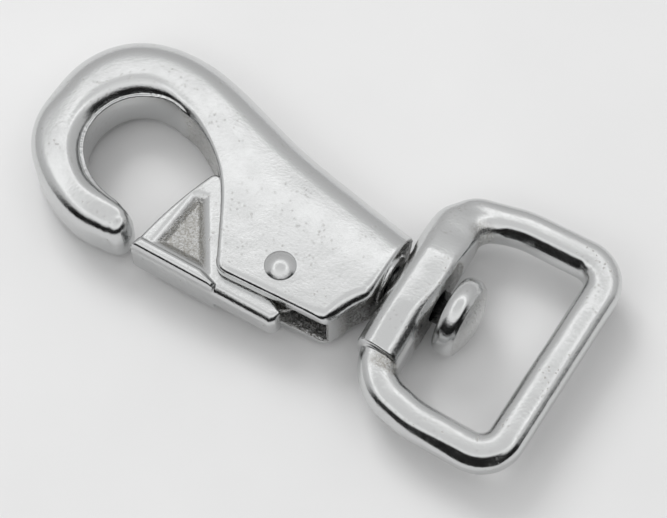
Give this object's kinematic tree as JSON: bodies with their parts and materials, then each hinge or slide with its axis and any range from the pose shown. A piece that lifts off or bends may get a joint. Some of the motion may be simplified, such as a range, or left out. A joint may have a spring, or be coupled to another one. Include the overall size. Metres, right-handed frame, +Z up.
{
  "type": "swivel snap hook",
  "caption": "Cast swivel snap hook with a sprung gate that opens inwards and a square strap eye turning on a button-headed stud",
  "frame": {"origin": "middle of the footprint, on the plane that the stud's button head stands on", "axes": "X along the swivel axis from the hook to the strap eye, +Z up out of the upper cheek, gate on the -Y side"},
  "size_m": [0.0896, 0.0402, 0.0122],
  "materials": {
    "plated_casting": "malleable iron casting, tumbled, polished and nickel plated",
    "plated_fasteners": "steel, nickel plated bright",
    "spring_wire": "drawn spring steel wire"
  },
  "bodies": {
    "hook": {"hook_body": "plated_casting", "pivot_rivet": "plated_fasteners", "gate_spring": "spring_wire", "swivel_stud": "plated_fasteners"},
    "gate": {"gate": "plated_casting"},
    "eye": {"strap_eye": "plated_casting"}
  },
  "joints": [
    {"name": "gate_pivot", "type": "hinge", "parent": "hook", "child": "gate", "pos_m": [0.0009, -0.008, 0.0061], "axis": [0, 0, -1], "range_deg": [0, 24], "stiffness_Nm_per_rad": 0.05, "springref_deg": -45.84},
    {"name": "eye_swivel", "type": "hinge", "parent": "hook", "child": "eye", "pos_m": [0.01885, 0, 0.0061], "axis": [1, 0, 0], "continuous": true}
  ]
}
